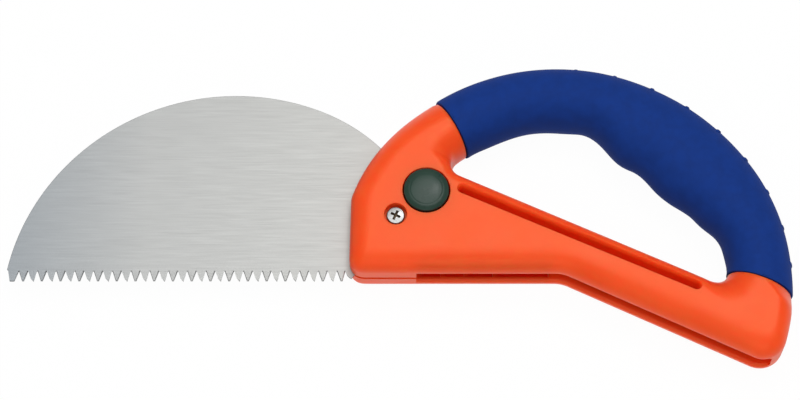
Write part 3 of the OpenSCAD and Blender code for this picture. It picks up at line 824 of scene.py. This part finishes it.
def slotCutter(low, high):
    left, r, floor = inside["slotStart"], inside["lockClear"], bellyY + inside["slotDeep"]
    start = degrees(atan2(floor, sqrt(r * r - floor * floor)))
    rim = [p for p in arc((0, 0), r, start, inside["lockTurn"], inside["lockSteps"]) if p[1] < foldY(p[0])]
    # the far end follows the swing of the blade's end
    swing = arc((0, 0), inside["swing"], *inside["swingTurn"], inside["swingSteps"])
    end = [p for p in swing if p[1] < foldY(p[0])]
    outline = [(left, inside["farLow"]), (left, floor)] + rim + [(rim[-1][0], foldY(rim[-1][0]))] + end
    return addPlate("slotCutter", outline, mid(low), mid(high))


def mouthCutter():
    # rounds the edge where the slot wall meets the underside
    r, z, out, into = inside["mouthR"], inside["slotHalf"], inside["mouthOut"], inside["mouthIn"]
    reach = inside["swing"] - inside["mouthShort"]
    path = [o for o in restOuter[tailStep * fine:bellyStep * fine] if o.length < reach]
    path.append(Vector((inside["slotStart"], bellyY)))
    section = [(-out, z - into), (-out, z + r)]
    section += [(r - r * cos(radians(a)), z + r - r * sin(radians(a))) for a in range(0, 91, 10)]
    section += [(r, z - into)]
    rings = []
    for k, o in enumerate(path):
        inward = squareTo(path, k, 1)
        rings.append([(o.x + inward.x * d, o.y + inward.y * d, up) for d, up in section])
    return skinRings("mouthCutter", rings, False)


def hollowCutters(low, high):
    # a row of pockets along the sloping beam and one between each two ribs over the belly
    cutters = []
    slope = (Matrix.Translation((handle["bendX"] * mm, bellyY * mm, 0))
             @ Matrix.Rotation(radians(handle["lowDir"]), 4, "Z"))
    for k in range(hollow["beamCount"]):
        x = hollow["beamStart"] + hollow["beamStep"] * k
        box = addBox("beamHollow", (x, hollow["beamLow"], mid(low)),
                     (x + hollow["beamLong"], hollow["beamHigh"], mid(high)))
        box.data.transform(slope)
        cutters.append(box)
    wall = hollow["ribHalf"]
    for a, b in zip(hollow["ribs"], hollow["ribs"][1:]):
        cutters.append(addBox("bellyHollow", (a + wall, bellyY + hollow["bellyLow"], mid(low)),
                              (b - wall, bellyY + hollow["bellyHigh"], mid(high))))
    return cutters


def flaredHole(name, radius, floor, top, at, ease=0.35, past=4):
    # round pocket whose mouth is eased by a small radius
    profile = [(0, mid(floor)), (radius, mid(floor)), (radius, mid(top - ease))]
    for a in (30, 60, 90):
        profile.append((radius + ease * (1 - cos(radians(a))), mid(top - ease + ease * sin(radians(a)))))
    profile += [(radius + ease, mid(top + past)), (0, mid(top + past))]
    return addTurned(name, profile, at)


def shellHalf(name):
    shell = shellBlank(name)
    below = inside["below"]
    cutAway(shell, slitCutter(below, inside["slitHalf"]))
    cutAway(shell, slotCutter(below, inside["slotHalf"]))
    cutAway(shell, mouthCutter())
    for cutter in hollowCutters(inside["slotHalf"] - hollow["overlap"], half - hollow["skin"]):
        cutAway(shell, cutter)
    cutAway(shell, grooveCutter())
    cutAway(shell, bore("washerCutter", inside["washerR"], (below, inside["seat"])))
    return shell


frontShell = shellHalf("frontShell")
rearShell = copyFar(frontShell, "rearShell")
for cutter in (
    bore("pivotBore", pivot["boreR"], pivot["boreCut"]),
    flaredHole("headBore", pivot["headR"] + pivot["rim"], pivot["headLow"], half, (0, 0)),
    flaredHole("buttonWell", lock["buttonR"] + lock["gap"], lock["well"], half, lockAt, lock["ease"]),
    bore("stemBore", lock["stemR"], lock["stemCut"], lockAt),
):
    cutAway(frontShell, cutter)
for cutter in (
    bore("insertPocket", pivot["insertR"], pivot["insertCut"]),
    bore("flangePocket", lock["flangeR"], lock["flangeCut"], lockAt),
    bore("springPocket", lock["springR"], lock["springCut"], lockAt),
):
    cutAway(rearShell, cutter)
threadBoreR = caseScrew["shankR"] + caseScrew["threadGap"]
shankBoreR = caseScrew["shankR"] + caseScrew["shankGap"]
headBoreR = caseScrew["headR"] + caseScrew["gap"]
shankSides, headSides = caseScrew["shankSides"], caseScrew["headSides"]
for spot in caseScrews.values():
    cutAway(frontShell, bore("threadBore", threadBoreR, caseScrew["threadCut"], spot, shankSides))
    cutAway(rearShell, bore("shankBore", shankBoreR, caseScrew["shankCut"], spot, shankSides))
    cutAway(rearShell, addCylinder("caseBore", headBoreR, caseScrew["under"], caseScrew["bed"], spot,
                                   headSides))
for shell, node in ((frontShell, "front_shell"), (rearShell, "rear_shell")):
    tidyMesh(shell, handle["crease"])
    dress(shell, "orange", "handle", node)
print("shells made:", len(frontShell.data.polygons), len(rearShell.data.polygons))

# soft grip
grip = {"gap": 0.5, "lip": 0.75, "lipLong": 0.75, "lipSteps": 5, "lipPower": 1.5, "skin": 0.05,
        "ribs": 9, "ribStart": 84.7, "ribStep": 9.68, "ribHigh": 0.48, "ribWide": 1.8, "ribLong": 6.75,
        "ribRows": 8, "ribFall": 0.7, "ribEnd": -0.2, "ribRoot": 0.4, "ribFoot": 1.2,
        "ribAcross": (-1, -0.9, -0.6, -0.25, 0.25, 0.6, 0.9, 1), "crease": 40}


def gripRing(k, other, share, sinkIn):
    # closed section of the sleeve, set a share of the way to the next station
    base = handle["gap"] / 2
    core = handle["gripThick"] - handle["proud"] - grip["skin"]
    rows = []
    for n in (k, other):
        over = sectionAt(gripOuter, gripInner, n, gripRound[n], -sinkIn, base)
        under = sectionAt(gripOuter, gripInner, n, gripRound[n], core, base)
        rows.append([Vector(p) for p in over + under[::-1]])
    return [tuple(p.lerp(q, share)) for p, q in zip(*rows)]


def gripHalf(name):
    # sleeve with rounded lips, so that a fine dark gap shows against the shells
    last = len(gripOuter) - 1
    proud, steps = handle["proud"], grip["lipSteps"]
    ends = []
    for n in range(steps + 1):
        left = 1 - n / steps
        ends.append((grip["gap"] + grip["lipLong"] * (n / steps) ** grip["lipPower"],
                     proud - grip["lip"] * (1 - sqrt(max(0.0, 1 - left * left)))))
    rings = [gripRing(0, 1, share, sinkIn) for share, sinkIn in ends]
    rings += [gripRing(k, k, 0.0, proud) for k in range(1, last)]
    rings += [gripRing(last, last - 1, share, sinkIn) for share, sinkIn in reversed(ends)]
    return skinRings(name, rings, False)


def addRib(a):
    # small round-backed rib across the crest, sinking into the grip at its ends
    rows, root = grip["ribRows"], grip["ribRoot"]
    rings = []
    for n in range(rows + 1):
        z = handle["gap"] / 2 + grip["ribLong"] * n / rows
        edge = gripArc(a) + handle["proud"] - half * (1 - sqrt(1 - (z / half) ** 2))
        high = grip["ribHigh"] * (1 - grip["ribFall"] * (n / rows) ** 2) if n < rows else grip["ribEnd"]
        ring = []
        for t in grip["ribAcross"]:
            b = a + degrees(t * grip["ribWide"] / 2 / edge)
            q = hub + (edge - root + (high + root) * sqrt(1 - min(1, abs(t)) ** 4)) * ahead(b)
            ring.append((q.x, q.y, z))
        for t in (1, -1):
            q = hub + (edge - grip["ribFoot"]) * ahead(a + degrees(t * grip["ribWide"] / 2 / edge))
            ring.append((q.x, q.y, z))
        rings.append(ring)
    return skinRings("gripRib", rings, False)


frontGrip = gripHalf("frontGrip")
for n in range(grip["ribs"]):
    cutAway(frontGrip, addRib(grip["ribStart"] - grip["ribStep"] * n), "UNION")
rearGrip = copyFar(frontGrip, "rearGrip")
for key in ("case_screw_crown", "case_screw_palm", "case_screw_wrist"):
    cutAway(rearGrip, addCylinder("gripBore", headBoreR, caseScrew["under"], caseScrew["gripTop"],
                                  caseScrews[key], headSides))
for piece, node in ((frontGrip, "front_grip"), (rearGrip, "rear_grip")):
    tidyMesh(piece, grip["crease"])
    dress(piece, "blue", "handle", node)
print("grips made:", len(frontGrip.data.polygons))

# blade
blade = {
    "half": 0.6, "boreR": 3.55, "boreCut": (-3, 3), "rim": 0.18, "rimSteps": 2, "onRim": 0.004, "level": 0.01,
    "tip": -154.2, "gullet": -19.4, "deep": 4.2, "backSteps": 180, "shoulder": 67.5, "shoulderR": 74.7,
    "shoulderSteps": 50, "stop": 53.0, "tang": 12.3, "tangSteps": 72,
    "heel": (-17.6, -22.6), "heelCurve": ((0.8, 0.5), (1.6, 1.3)), "heelLong": 2.4,
    "pointUp": 0.5, "point": (0.2, 1.0, 1.6), "pointRise": 0.3,
    "firstGullet": -149.8, "pitch": 3.72, "teeth": 35, "set": 0.3, "slope": 0.9,
    "sharp": (0.4, 0.6), "broad": (0.33, 0.64), "plain": 0.04,
    "ground": 0.62, "groundRoot": 0.55, "groundTip": (0.4, 0.15), "crease": 12, "weld": 0.0005,
}


def backArcs():
    # centre and radius of the round back, then of the tighter shoulder that runs on from it
    centre, radius, tight = Vector(inside["bladeCentre"]), inside["bladeR"], blade["shoulderR"]
    return (centre, radius), (centre + (radius - tight) * ahead(blade["shoulder"]), tight)


def bladeOutline():
    # from the point of the blade over its round back to the tang and the heel
    (c, r), (c2, tight) = backArcs()
    ray = ahead(blade["stop"])
    reach = ray.dot(c2) + sqrt(ray.dot(c2) ** 2 - c2.length_squared + tight * tight)
    rise = blade["gullet"] + blade["pointUp"] - c.y
    first = 180 - degrees(atan2(rise, sqrt(r * r - rise ** 2)))
    meet = ray * reach - c2
    heel = Vector(blade["heel"])
    heelA = degrees(atan2(heel.y, heel.x))
    turn = blade["shoulder"]
    outline = arc(c, r, first, turn, blade["backSteps"])
    outline += arc(c2, tight, turn, degrees(atan2(meet.y, meet.x)), blade["shoulderSteps"])[1:]
    outline += arc((0, 0), blade["tang"], blade["stop"], heelA, blade["tangSteps"])
    outline += [tuple(heel)] + [(heel.x - x, heel.y + y) for x, y in blade["heelCurve"]]
    return outline + [(heel.x - blade["heelLong"], blade["gullet"])]


def toothEdges():
    # lean, rise of the tip's left end, then x of root and tip seen from the front and from the rear
    p, g, plain, ground = blade["pitch"], blade["firstGullet"], blade["plain"], blade["ground"]
    root, (tipLeft, tipRight) = blade["groundRoot"], blade["groundTip"]
    point = (blade["tip"] + blade["point"][0], blade["tip"] + blade["point"][1], g - blade["point"][2], g)
    rows = [(0, 0.0, point, point)]
    for k in range(blade["teeth"]):
        x0, x1 = g + p * k, min(g + p * (k + 1), blade["heel"][0] - blade["heelLong"])
        left, right = blade["broad"] if k % 2 else blade["sharp"]
        wide = (x0 + plain, x0 + left * p, x0 + right * p, x1 - plain)
        thin = (x0 + ground * root, wide[1] + ground * tipLeft, wide[2] - ground * tipRight,
                x1 - ground * root)
        rows.append((1, blade["slope"], wide, thin) if k % 2 else (-1, 0.0, thin, wide))
    return rows


def bladeMesh():
    # two flat sides with leaning teeth, and the band between them
    outline = bladeOutline()
    gullet, low = blade["gullet"], blade["gullet"] - blade["deep"]
    verts, faces, loops = [], [], []
    for side in (1, -1):
        z = side * blade["half"]
        start = len(verts)
        verts += [(x, y, z) for x, y in outline]
        body = list(range(start, len(verts)))
        loop = body[:]
        for lean, rise, front, rear in reversed(toothEdges()):
            x = front if side > 0 else rear
            tipZ = z - lean * blade["set"]
            riseZ = z - lean * blade["set"] * (1 - rise / blade["deep"])
            lastY = gullet if lean else gullet + blade["pointRise"]
            at = len(verts)
            verts += [(x[3], gullet, z), (x[2], low, tipZ), (x[1], low + rise, riseZ), (x[0], lastY, z)]
            tooth = (at, at + 1, at + 2, at + 3)
            faces.append(tooth[::-1] if side > 0 else tooth)
            body += [at, at + 3]
            loop += tooth
        faces.append(body[::-1] if side > 0 else body)
        loops.append(loop)
    a, b = loops
    for k in range(len(a)):
        m = (k + 1) % len(a)
        faces.append((a[k], a[m], b[m], b[k]))
    return newPiece("sawBlade", [(x, y, mid(z)) for x, y, z in verts], [], faces)


def makeBlade():
    obj = bladeMesh()

    def onBack(v):
        offs = [abs((v.xy / mm - centre).length - radius) for centre, radius in backArcs()]
        return min(offs) < blade["onRim"]

    # ease the sharp rim of the round back
    level = blade["level"] * mm
    selectBy(obj, "EDGE", lambda p, q: onBack(p) and onBack(q) and abs(p.z - q.z) < level)
    bpy.ops.mesh.bevel(offset=blade["rim"] * mm, segments=blade["rimSteps"], affect="EDGES")
    faceOutward(obj)
    cutAway(obj, bore("bladeBore", blade["boreR"], blade["boreCut"]))
    return tidyMesh(obj, blade["crease"], blade["weld"])


sawBlade = dress(makeBlade(), "blade", "blade", "saw_blade")
print("blade made:", len(sawBlade.data.polygons))

# lock button, heights above the middle plane
button = {"low": 7.2, "rise": 13.6, "top": 15.6, "dome": 2.6, "edge": 0.5, "bevel": 0.3, "boreR": 3.02,
          "boreTop": 10.6, "ring": 6.6, "ringWide": 0.28, "ringDeep": 0.06, "capUp": 0.02, "turns": 128,
          "crease": 35, "outside": (8.1, 7.8, 7.4, 7.1), "cap": (6.0, 5.2, 4.3, 3.4, 2.5, 1.6, 0.8, 0.35)}


def domeAt(x):
    rise = button["rise"]
    return rise + (button["top"] - rise) * sqrt(1 - (x / lock["buttonR"]) ** button["dome"])


def makeButton():
    # hollow stem, rounded rim, fine ring line and a shallow dome
    r, low, bevel, edge, up = lock["buttonR"], button["low"], button["bevel"], button["edge"], button["capUp"]
    ring, wide = button["ring"], button["ringWide"]
    profile = [(0, button["boreTop"]), (button["boreR"], button["boreTop"]), (button["boreR"], low),
               (r - bevel, low), (r, low + bevel)]
    for a in range(0, 76, 15):
        profile.append((r - edge + edge * cos(radians(a)), domeAt(r - edge) - edge + edge * sin(radians(a))))
    profile += [(x, domeAt(x)) for x in (*button["outside"], ring + wide)]
    profile += [(ring, domeAt(ring) - button["ringDeep"])]
    profile += [(x, domeAt(x) + up) for x in (ring - wide, *button["cap"])]
    profile += [(0, button["top"] + up)]
    obj = addTurned("lockButton", [(x, mid(z)) for x, z in profile], lockAt, button["turns"])
    return tidyMesh(obj, button["crease"])


lockButton = dress(makeButton(), "button", "lock", "lock_button")

# pivot screw, heights above the middle plane
screw = {"headTop": 12.0, "bevel": 0.12, "wall": 0.75, "round": 0.45,
         "roundAt": 0.7, "crown": ((0.65, 0.12), (0.35, 0.03)),
         "shankR": 2.0, "shankLow": -8.85, "endIn": 0.4, "endUp": 0.5,
         "armLong": 2.65, "armWide": 1.05, "armDeep": 1.7, "armPast": 1.0, "armTaper": 0.5, "turn": -25.0,
         "hubShare": 0.72, "hubSides": 24, "crease": 35}


def crossCutter(low, high):
    # two tapering arms of a cross recess round a short hub
    long, wide = screw["armLong"], screw["armWide"]
    recess = addCylinder("crossHub", wide * screw["hubShare"], low, high, (0, 0), screw["hubSides"])
    for a in (screw["turn"], screw["turn"] + 90):
        arm = addBox("crossArm", (-long, -wide / 2, low), (long, wide / 2, high))
        for v in arm.data.vertices:
            if v.co.z < (low + high) / 2 * mm:
                v.co.x *= screw["armTaper"]
        arm.data.transform(Matrix.Rotation(radians(a), 4, "Z"))
        cutAway(recess, arm, "UNION")
    return recess


def makePivotScrew():
    low, top, r, bevel = pivot["headLow"], screw["headTop"], pivot["headR"], screw["bevel"]
    shankR, end, soft = screw["shankR"], screw["shankLow"], screw["round"]
    profile = [(0, end), (shankR - screw["endIn"], end), (shankR, end + screw["endUp"]), (shankR, low),
               (r - bevel, low), (r, low + bevel), (r, top - screw["wall"])]
    for a in range(0, 91, 15):
        profile.append((r - soft + soft * cos(radians(a)), top - screw["roundAt"] + soft * sin(radians(a))))
    profile += [(r * share, top - down) for share, down in screw["crown"]] + [(0, top)]
    obj = addTurned("pivotScrew", [(x, mid(z)) for x, z in profile])
    cutAway(obj, crossCutter(mid(top - screw["armDeep"]), mid(top + screw["armPast"])))
    return tidyMesh(obj, screw["crease"])


pivotScrew = dress(makePivotScrew(), "pivot", "handle", "pivot_screw")
print("button and pivot screw made")

# remaining solids keep their shape and get their finish
plainFinishes = {"pivot_bush": "turned", "front_washer": "washer", "rear_washer": "washer",
                 "pivot_insert": "brass", "lock_plunger": "turned", "lock_spring": "turned"}
plainFinishes.update({name: "zinc" for name in caseScrews})
for name, finish in plainFinishes.items():
    nodes[name].data.materials.clear()
    nodes[name].data.materials.append(finishes[finish])

# floor and light, lengths in metres
studio = {"floorSize": 6.0, "floorZ": -0.0002, "floorColour": srgb(244, 244, 244), "floorRough": 0.9,
          "floorShine": 0.1, "paper": 0.97, "glow": 0.9, "worldLevel": 0.4,
          "keyAt": (0.1, 0.25, 1.4), "keySize": 1.4, "keyPower": 13.9,
          "fillAt": (0.0, -1.1, 0.9), "fillSize": 0.8, "fillPower": 2.4,
          "sheenAt": (0.24, 0.5, 1.3), "sheenSize": 0.2, "sheenPower": 1.0}


def addFloor():
    # pale paper that glows a little, so that it stays even and white to the camera
    clearSelection()
    bpy.ops.mesh.primitive_plane_add(size=studio["floorSize"], location=(0, 0, studio["floorZ"]))
    floor = named("paperFloor")
    material, tree, shader = newMaterial("paperWhite", studio["floorRough"], Base_Color=studio["floorColour"],
                                         Specular_IOR_Level=studio["floorShine"])
    glow = tree.nodes.new("ShaderNodeEmission")
    glow.inputs["Color"].default_value = (1, 1, 1, 1)
    path = tree.nodes.new("ShaderNodeLightPath")
    mixer = tree.nodes.new("ShaderNodeMixShader")
    seen = mathNode(tree, "MAXIMUM", path.outputs["Is Camera Ray"], path.outputs["Is Glossy Ray"])
    share = mathNode(tree, "MAXIMUM", mathNode(tree, "MULTIPLY", seen, studio["paper"]), studio["glow"])
    for k, source in enumerate((share, shader.outputs[0], glow.outputs[0])):
        tree.links.new(source, mixer.inputs[k])
    tree.links.new(mixer.outputs[0], tree.nodes["Material Output"].inputs["Surface"])
    floor.data.materials.append(material)


def addLamp(name, at, size, power):
    # round area lamp, aimed at the origin
    lamp = bpy.data.lights.new(name, "AREA")
    lamp.shape = "DISK"
    lamp.size = size
    lamp.energy = power
    obj = bpy.data.objects.new(name, lamp)
    obj.location = at
    aim = Vector((0.0, 0.0, 0.0)) - Vector(at)
    obj.rotation_euler = aim.to_track_quat("-Z", "Y").to_euler()
    bpy.context.scene.collection.objects.link(obj)


def addWorld():
    world = bpy.data.worlds.new("studioWorld")
    bpy.context.scene.world = world
    world.use_nodes = True
    back = world.node_tree.nodes["Background"]
    back.inputs["Color"].default_value = (1, 1, 1, 1)
    back.inputs["Strength"].default_value = studio["worldLevel"]


addFloor()
for light in ("key", "fill", "sheen"):
    addLamp(light + "Lamp", studio[light + "At"], studio[light + "Size"], studio[light + "Power"])
addWorld()
bpy.context.scene.view_settings.view_transform = "Standard"
print("studio set")
